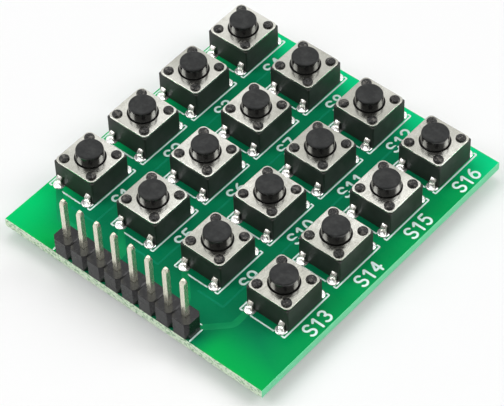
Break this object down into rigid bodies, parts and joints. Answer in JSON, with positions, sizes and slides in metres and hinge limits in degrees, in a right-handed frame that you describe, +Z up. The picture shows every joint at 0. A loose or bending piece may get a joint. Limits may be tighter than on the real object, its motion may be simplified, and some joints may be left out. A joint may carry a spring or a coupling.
{
  "type": "matrix keypad module",
  "caption": "Green circuit board carrying a square grid of tactile push-button switches and a row of upright header pins, a matrix keypad for reading keys.",
  "frame": {"origin": "under the middle of the board, in the plane of the cut lead ends that it lies on", "axes": "+X along the header row, +Y from the header to the back edge, +Z up out of the component side"},
  "size_m": [0.0386, 0.0426, 0.0112],
  "materials": {
    "solder_mask": "gloss green solder mask on pale glass-epoxy laminate",
    "header_plastic": "semi-gloss black moulding",
    "pin_metal": "bright tin plating",
    "solder": "shiny solder",
    "terminal_metal": "silver plating",
    "dome_steel": "bright spring steel",
    "housing_plastic": "gloss black moulding",
    "cover_steel": "satin sheet metal",
    "plunger_plastic": "fine matte black moulding"
  },
  "bodies": {
    "module": {"circuit_board": "solder_mask", "header_strip": "header_plastic", "header_pins": "pin_metal", "header_solder": "solder", "rim_terminals": "terminal_metal", "middle_terminals": "terminal_metal", "contact_domes": "dome_steel", "switch_solder": "solder", "switch_01_housing": "housing_plastic", "switch_02_housing": "housing_plastic", "switch_03_housing": "housing_plastic", "switch_04_housing": "housing_plastic", "switch_05_housing": "housing_plastic", "switch_06_housing": "housing_plastic", "switch_07_housing": "housing_plastic", "switch_08_housing": "housing_plastic", "switch_09_housing": "housing_plastic", "switch_10_housing": "housing_plastic", "switch_11_housing": "housing_plastic", "switch_12_housing": "housing_plastic", "switch_13_housing": "housing_plastic", "switch_14_housing": "housing_plastic", "switch_15_housing": "housing_plastic", "switch_16_housing": "housing_plastic", "switch_01_cover": "cover_steel", "switch_02_cover": "cover_steel", "switch_03_cover": "cover_steel", "switch_04_cover": "cover_steel", "switch_05_cover": "cover_steel", "switch_06_cover": "cover_steel", "switch_07_cover": "cover_steel", "switch_08_cover": "cover_steel", "switch_09_cover": "cover_steel", "switch_10_cover": "cover_steel", "switch_11_cover": "cover_steel", "switch_12_cover": "cover_steel", "switch_13_cover": "cover_steel", "switch_14_cover": "cover_steel", "switch_15_cover": "cover_steel", "switch_16_cover": "cover_steel"},
    "key_01": {"switch_01_plunger": "plunger_plastic"},
    "key_02": {"switch_02_plunger": "plunger_plastic"},
    "key_03": {"switch_03_plunger": "plunger_plastic"},
    "key_04": {"switch_04_plunger": "plunger_plastic"},
    "key_05": {"switch_05_plunger": "plunger_plastic"},
    "key_06": {"switch_06_plunger": "plunger_plastic"},
    "key_07": {"switch_07_plunger": "plunger_plastic"},
    "key_08": {"switch_08_plunger": "plunger_plastic"},
    "key_09": {"switch_09_plunger": "plunger_plastic"},
    "key_10": {"switch_10_plunger": "plunger_plastic"},
    "key_11": {"switch_11_plunger": "plunger_plastic"},
    "key_12": {"switch_12_plunger": "plunger_plastic"},
    "key_13": {"switch_13_plunger": "plunger_plastic"},
    "key_14": {"switch_14_plunger": "plunger_plastic"},
    "key_15": {"switch_15_plunger": "plunger_plastic"},
    "key_16": {"switch_16_plunger": "plunger_plastic"}
  },
  "joints": [
    {"name": "key_01_press", "type": "slide", "parent": "module", "child": "key_01", "axis": [0, 0, -1], "range_m": [0, 0.00025], "stiffness_N_per_m": 6400, "deforming": ["contact_domes"]},
    {"name": "key_02_press", "type": "slide", "parent": "module", "child": "key_02", "axis": [0, 0, -1], "range_m": [0, 0.00025], "stiffness_N_per_m": 6400, "deforming": ["contact_domes"]},
    {"name": "key_03_press", "type": "slide", "parent": "module", "child": "key_03", "axis": [0, 0, -1], "range_m": [0, 0.00025], "stiffness_N_per_m": 6400, "deforming": ["contact_domes"]},
    {"name": "key_04_press", "type": "slide", "parent": "module", "child": "key_04", "axis": [0, 0, -1], "range_m": [0, 0.00025], "stiffness_N_per_m": 6400, "deforming": ["contact_domes"]},
    {"name": "key_05_press", "type": "slide", "parent": "module", "child": "key_05", "axis": [0, 0, -1], "range_m": [0, 0.00025], "stiffness_N_per_m": 6400, "deforming": ["contact_domes"]},
    {"name": "key_06_press", "type": "slide", "parent": "module", "child": "key_06", "axis": [0, 0, -1], "range_m": [0, 0.00025], "stiffness_N_per_m": 6400, "deforming": ["contact_domes"]},
    {"name": "key_07_press", "type": "slide", "parent": "module", "child": "key_07", "axis": [0, 0, -1], "range_m": [0, 0.00025], "stiffness_N_per_m": 6400, "deforming": ["contact_domes"]},
    {"name": "key_08_press", "type": "slide", "parent": "module", "child": "key_08", "axis": [0, 0, -1], "range_m": [0, 0.00025], "stiffness_N_per_m": 6400, "deforming": ["contact_domes"]},
    {"name": "key_09_press", "type": "slide", "parent": "module", "child": "key_09", "axis": [0, 0, -1], "range_m": [0, 0.00025], "stiffness_N_per_m": 6400, "deforming": ["contact_domes"]},
    {"name": "key_10_press", "type": "slide", "parent": "module", "child": "key_10", "axis": [0, 0, -1], "range_m": [0, 0.00025], "stiffness_N_per_m": 6400, "deforming": ["contact_domes"]},
    {"name": "key_11_press", "type": "slide", "parent": "module", "child": "key_11", "axis": [0, 0, -1], "range_m": [0, 0.00025], "stiffness_N_per_m": 6400, "deforming": ["contact_domes"]},
    {"name": "key_12_press", "type": "slide", "parent": "module", "child": "key_12", "axis": [0, 0, -1], "range_m": [0, 0.00025], "stiffness_N_per_m": 6400, "deforming": ["contact_domes"]},
    {"name": "key_13_press", "type": "slide", "parent": "module", "child": "key_13", "axis": [0, 0, -1], "range_m": [0, 0.00025], "stiffness_N_per_m": 6400, "deforming": ["contact_domes"]},
    {"name": "key_14_press", "type": "slide", "parent": "module", "child": "key_14", "axis": [0, 0, -1], "range_m": [0, 0.00025], "stiffness_N_per_m": 6400, "deforming": ["contact_domes"]},
    {"name": "key_15_press", "type": "slide", "parent": "module", "child": "key_15", "axis": [0, 0, -1], "range_m": [0, 0.00025], "stiffness_N_per_m": 6400, "deforming": ["contact_domes"]},
    {"name": "key_16_press", "type": "slide", "parent": "module", "child": "key_16", "axis": [0, 0, -1], "range_m": [0, 0.00025], "stiffness_N_per_m": 6400, "deforming": ["contact_domes"]}
  ]
}
